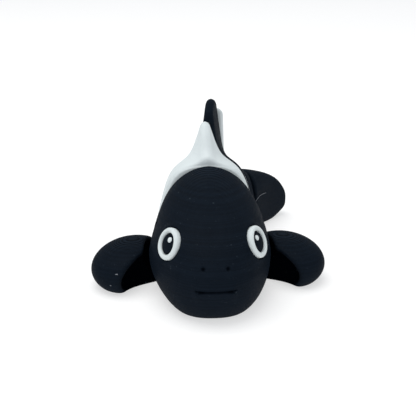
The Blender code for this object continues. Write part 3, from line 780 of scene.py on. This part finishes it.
def weld(mesh):
    """Joins the points that meet on the axis of a turned piece, and marks its sharp edges."""
    bm = bmesh.new()
    bm.from_mesh(mesh)
    bmesh.ops.remove_doubles(bm, verts=bm.verts, dist=1e-6)
    bmesh.ops.recalc_face_normals(bm, faces=bm.faces)
    bm.to_mesh(mesh)
    bm.free()
    mesh.shade_smooth()
    mesh.set_sharp_from_angle(angle=radians(50))


def add_eye(side, label):
    """A white ring with a black pupil in it and a white glint on that, as turned pieces."""
    inner = PUPIL_RADIUS + EYE_SEAM
    outer = EYE_RADIUS
    middle, half = (inner + outer) / 2, (outer - inner) / 2
    crown = arc((middle, RING_CROWN["level"]), (half, RING_CROWN["height"]), end=180, count=17)
    ring_profile = [(inner, -EYE_DEPTH), (outer, -EYE_DEPTH), *crown]
    add_turned("eye_ring_" + label, ring_profile, side, WHITE, WHITE_SLOT)
    dome = arc((0, PUPIL_DOME["level"]), (PUPIL_RADIUS, PUPIL_DOME["height"]), end=90, count=16)
    pupil_profile = [(0, -EYE_DEPTH), (PUPIL_RADIUS, -EYE_DEPTH), *dome]
    add_turned("eye_pupil_" + label, pupil_profile, side, BLACK, BLACK_SLOT)
    drop = arc((0, GLINT_DROP["level"]), (GLINT_RADIUS, GLINT_DROP["height"]), end=90, count=10)
    glint_profile = [(0, GLINT_DROP["foot"]), (GLINT_RADIUS, GLINT_DROP["foot"]), *drop]
    shift = (-GLINT_SLANT * side * GLINT_OFFSET, GLINT_OFFSET, 0.0)
    add_turned("eye_glint_" + label, glint_profile, side, WHITE, WHITE_SLOT, shift)


# ---- trunk, tail and pectoral fins ----
def trunk_solid(number):
    """Trunk piece number 1 to 4 with its dorsal fin, collar, knuckle and socket, and its uncut outside."""
    front, rear = TRUNK_ENDS[number - 1] + JOINT_GAP, TRUNK_ENDS[number]
    half, _, top, _ = trunk_section(np.array(front))
    if number <= len(DORSAL_EDGES):
        top = max(z for _, z in DORSAL_EDGES[number - 1])
    side = float(half) + 1.0
    start = hinge_s(number) - KNUCKLE_RADII[number - 1] - 1.0
    grid = Grid(low=(-side, start, -1.0), high=(side, rear + 1.0, float(top) + 1.5))
    tuck = 1 - smooth_step((grid.s - front) / FRONT_TUCK["length"])
    solid = grid.skin(trunk_square) + FRONT_TUCK["depth"] * tuck
    inner, ahead = solid + COLLAR["inset"], grid.front_face(front - COLLAR["proud"])
    if number <= len(DORSAL_EDGES):
        fin = grid.skin(lambda s, z: dorsal_square(number, s, z))
        fin = smooth_max(fin, grid.s - DORSAL_END, 2 * DORSAL_END_RADIUS)
        solid = smooth_min(solid, fin, DORSAL_FILLETS[number - 1])
    collar = np.maximum(np.maximum(inner, ahead), (inner + ahead + COLLAR["proud"]) / sqrt(2))
    solid = np.minimum(smooth_max(solid, grid.front_face(front), RIM_ROUNDING), collar)
    solid = smooth_max(solid, grid.rear_face(rear), RIM_ROUNDING)
    outside = smooth_max(solid, -grid.z, FLOOR_ROUNDING)
    solid = cut_socket(grid, outside, number + 1)
    return grid, grow_knuckle(grid, solid, number), outside


def tail_solid():
    """The tail with its knuckle, and its outside without it."""
    front = TRUNK_ENDS[-1] + JOINT_GAP
    start = hinge_s(5) - KNUCKLE_RADII[-1] - 1.0
    grid = Grid(low=(-8.5, start, -1.0), high=(8.5, TAIL_END + 1.0, 23.5))
    solid = smooth_max(grid.skin(tail_square), grid.front_face(front), RIM_ROUNDING)
    outside = smooth_max(solid, -grid.z, FLOOR_ROUNDING)
    return grid, grow_knuckle(grid, outside, 5), outside


def pectoral_solid():
    """The fin on the toy's left: a thick paddle, scooped out on the side that faces the head, and clear of
    the head and the second trunk piece when they swing."""
    grid = Grid(low=(12.0, 18.0, -1.0), high=(36.5, 45.0, 15.5))
    paddle = grid.ball(PADDLE_CENTRE, PADDLE_RADII, PADDLE_TURN)
    scoop = grid.ball(SCOOP_CENTRE, SCOOP_RADII, SCOOP_TURN, SCOOP_REACH)
    solid = smooth_max(paddle, -scoop, FIN_RIDGE)
    share = np.sqrt(np.maximum(trunk_square(np.float64(HEAD_LENGTH), grid.z), 0.0)) / TRUNK_STATIONS[0][1]
    swept = SWEPT_RADIUS * share - np.sqrt(grid.x**2 + (grid.s - hinge_s(1)) ** 2)
    solid = smooth_max(solid, swept, SWEPT_ROUNDING)
    swing = RELIEF_RADIUS - np.sqrt(grid.x**2 + (grid.s - hinge_s(2)) ** 2)
    relief = np.minimum(swing, grid.rear_face(TRUNK_ENDS[1]))
    solid = smooth_max(solid, relief, SEAT_ROUNDING)
    seat = grid.skin(trunk_square)
    solid = smooth_max(solid, PIECE_GAP / 2 - seat, SEAT_ROUNDING)
    return grid, smooth_max(solid, -grid.z, FLOOR_ROUNDING), paddle


# ---- marks of the printer ----
def add_thread():
    """A hair-thin stray thread, stuck to the tail at one end and free at the other."""
    curve = np.array(THREAD_PATH)
    rings, sides = THREAD_RINGS, THREAD_SIDES
    at = np.linspace(0.0, len(curve) - 1.0, rings)
    path = np.stack([np.interp(at, range(len(curve)), column) for column in curve.T], axis=1)
    for _ in range(4):  # rounds the corners of the path
        path[1:-1] = (path[:-2] + path[1:-1] + path[2:]) / 3
    turns = 2 * pi * np.arange(sides) / sides
    spoke = np.stack([np.cos(turns), 0 * turns, np.sin(turns)], axis=1) * THREAD_RADIUS
    points = (path[:, None] + spoke).reshape(-1, 3)
    faces = [tuple(range(sides)), tuple(reversed(range((rings - 1) * sides, rings * sides)))]
    for i in range(rings - 1):
        for k in range(sides):
            j = (k + 1) % sides
            faces.append((i * sides + j, i * sides + k, (i + 1) * sides + k, (i + 1) * sides + j))
    add_piece("stray_thread", points, faces, np.zeros(len(points)), "tail", PALE, BLACK_SLOT, [])


def add_blob(number, place, out, half):
    """A small flat lump of uneven outline, half sunk in the skin."""
    bm = bmesh.new()
    bmesh.ops.create_icosphere(bm, subdivisions=3, radius=1.0)
    outward = Vector(out).normalized()
    across = outward.cross(Vector((0, 0, 1))).normalized()
    axes = np.array((across, outward.cross(across), outward))
    ball = np.array([vert.co for vert in bm.verts])
    uneven = 1 + BLOB_UNEVENNESS * np.sin(3 * np.arctan2(ball[:, 1], ball[:, 0]) + number)
    points = (ball * uneven[:, None] * half) @ axes + np.array(place)
    faces = [tuple(vert.index for vert in face.verts) for face in bm.faces]
    bm.free()
    painted_shade = np.zeros(len(points))
    add_piece(f"stray_blob_{number}", points, faces, painted_shade, "trunk_1", PALE, BLACK_SLOT, [])


def build():
    add_piece("head_skin", *skin_mesh(*head_solid()), "head", BLACK, BLACK_SLOT, ["head"])
    for side, label in ((1, "left"), (-1, "right")):
        add_eye(side, label)

    for number in range(1, 5):
        material, slot = (WHITE, WHITE_SLOT) if number in (1, 3) else (BLACK, BLACK_SLOT)
        replaced = [f"trunk_{number}"]
        if number <= len(DORSAL_EDGES):
            replaced.append(f"dorsal_fin_{number}")
        skin = skin_mesh(*trunk_solid(number))
        add_piece(f"trunk_{number}_skin", *skin, f"trunk_{number}", material, slot, replaced)

    add_piece("tail_skin", *skin_mesh(*tail_solid()), "tail", BLACK, BLACK_SLOT, ["tail"])

    # The fins' scoops are painted dark, as shade, over a greater depth.
    points, faces, painted_shade = skin_mesh(*pectoral_solid(), SCOOP_SHADE_DEPTH)
    add_piece("fin_left", points, faces, painted_shade, "trunk_1", BLACK, BLACK_SLOT, ["pectoral_fin_left"])
    points, faces = points * (-1, 1, 1), faces[:, ::-1]
    add_piece("fin_right", points, faces, painted_shade, "trunk_1", BLACK, BLACK_SLOT, ["pectoral_fin_right"])

    add_thread()
    for number, blob in enumerate(BLOBS, 1):
        add_blob(number, **blob)


# ---- stage ----
def add_floor():
    """A pale floor that gives off some light of its own, so that it shows nearly white."""
    mesh = bpy.data.meshes.new("floor")
    reach = 4.0
    corners = [(-reach, -reach, 0), (reach, -reach, 0), (reach, reach, 0), (-reach, reach, 0)]
    mesh.from_pydata(corners, [], [(0, 1, 2, 3)])
    material = bpy.data.materials.new("pale_floor")
    material.use_nodes = True
    shader = material.node_tree.nodes["Principled BSDF"]
    shader.inputs["Base Color"].default_value = (0.5, 0.5, 0.5, 1.0)
    shader.inputs["Emission Color"].default_value = (1.0, 1.0, 1.0, 1.0)
    shader.inputs["Emission Strength"].default_value = 0.56
    shader.inputs["Roughness"].default_value = 0.9
    shader.inputs["Specular IOR Level"].default_value = 0.1
    mesh.materials.append(material)
    floor = bpy.data.objects.new("floor", mesh)
    bpy.context.scene.collection.objects.link(floor)


def add_light(name, place, size, energy, colour):
    """A round soft light, aimed at the middle of the toy."""
    light = bpy.data.lights.new(name, "AREA")
    light.shape = "DISK"
    light.size = size
    light.energy = energy
    light.color = colour
    lamp = bpy.data.objects.new(name, light)
    lamp.location = place
    aim = Vector((0, 0, 0.02))
    lamp.rotation_euler = (aim - Vector(place)).to_track_quat("-Z", "Y").to_euler()
    bpy.context.scene.collection.objects.link(lamp)


def add_camera():
    """A camera ahead of the toy and above it, aimed at the middle of its head and then raised a little."""
    elevation, azimuth, distance = radians(22.65), radians(-3.87), 0.243
    raised, leftward = radians(2.495), radians(0.263)
    head_middle = Vector((0.0, 16.0, 17.0)) * MM
    target = POSES["head"].translation + head_middle
    side, level = sin(azimuth) * cos(elevation), -cos(azimuth) * cos(elevation)
    back = Vector((side, level, sin(elevation)))
    data = bpy.data.cameras.new("camera")
    data.sensor_width = 36.0
    data.lens = 75.46
    data.clip_start = 0.01
    camera = bpy.data.objects.new("camera", data)
    camera.location = target + distance * back
    camera.rotation_mode = "QUATERNION"
    tip = Quaternion((1, 0, 0), raised) @ Quaternion((0, 1, 0), leftward)
    camera.rotation_quaternion = (-back).to_track_quat("-Z", "Y") @ tip
    bpy.context.scene.collection.objects.link(camera)
    bpy.context.scene.camera = camera


def add_world():
    world = bpy.data.worlds.new("studio")
    world.use_nodes = True
    background = world.node_tree.nodes["Background"]
    background.inputs["Color"].default_value = (0.93, 0.96, 1.0, 1.0)
    background.inputs["Strength"].default_value = 0.6
    bpy.context.scene.world = world


build()
add_floor()
add_world()
add_light("softbox_top", (-0.12, 0.05, 0.75), size=0.7, energy=3.6, colour=(1.0, 0.99, 0.97))
add_light("fill_front", (-0.28, -0.80, 0.32), size=0.5, energy=0.8, colour=(0.95, 0.98, 1.0))
add_camera()
bpy.context.scene.view_settings.view_transform = "Standard"

bpy.context.view_layer.update()
